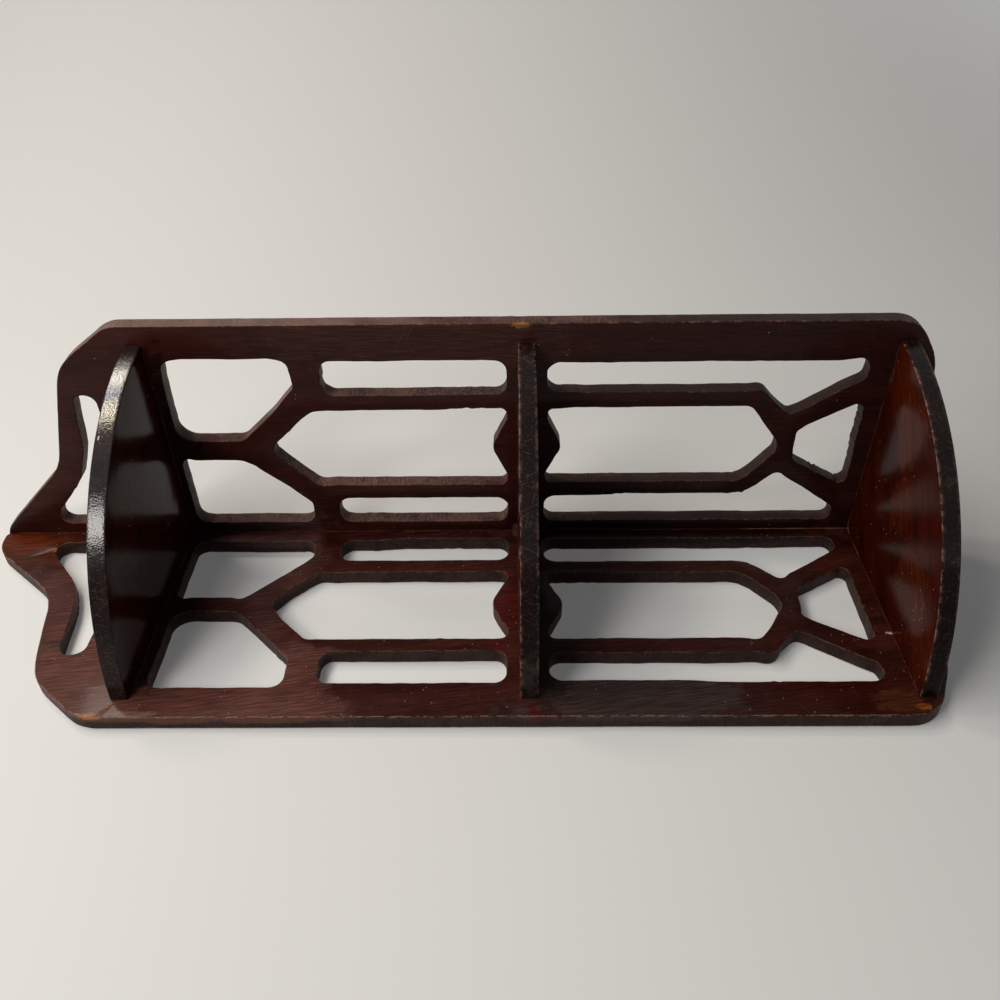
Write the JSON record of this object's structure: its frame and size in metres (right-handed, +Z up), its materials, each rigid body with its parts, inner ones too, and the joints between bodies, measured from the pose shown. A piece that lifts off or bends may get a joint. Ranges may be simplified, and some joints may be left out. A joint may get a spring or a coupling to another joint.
{
  "type": "corner wall shelf",
  "caption": "Corner wall shelf with mirrored fretwork side panels, bow-fronted quarter-round shelves and an ogee-shaped crest, to hang or stand in a corner.",
  "frame": {"origin": "the room's corner line at the level of the panels' feet", "axes": "+Z up along the corner line, +X along the right wall away from the corner, -Y along the left wall away from the corner"},
  "size_m": [0.171, 0.171, 0.614],
  "materials": {
    "panel_wood": "gloss varnish over dark red mahogany stain",
    "shelf_wood": "gloss varnish over dark red mahogany stain",
    "screw_steel": "plain steel"
  },
  "bodies": {
    "root": {"left_panel": "panel_wood", "right_panel": "panel_wood", "top_shelf": "shelf_wood", "middle_shelf": "shelf_wood", "bottom_shelf": "shelf_wood", "left_shelf_screws": "screw_steel", "right_shelf_screws": "screw_steel", "spine_screws": "screw_steel"}
  },
  "joints": []
}
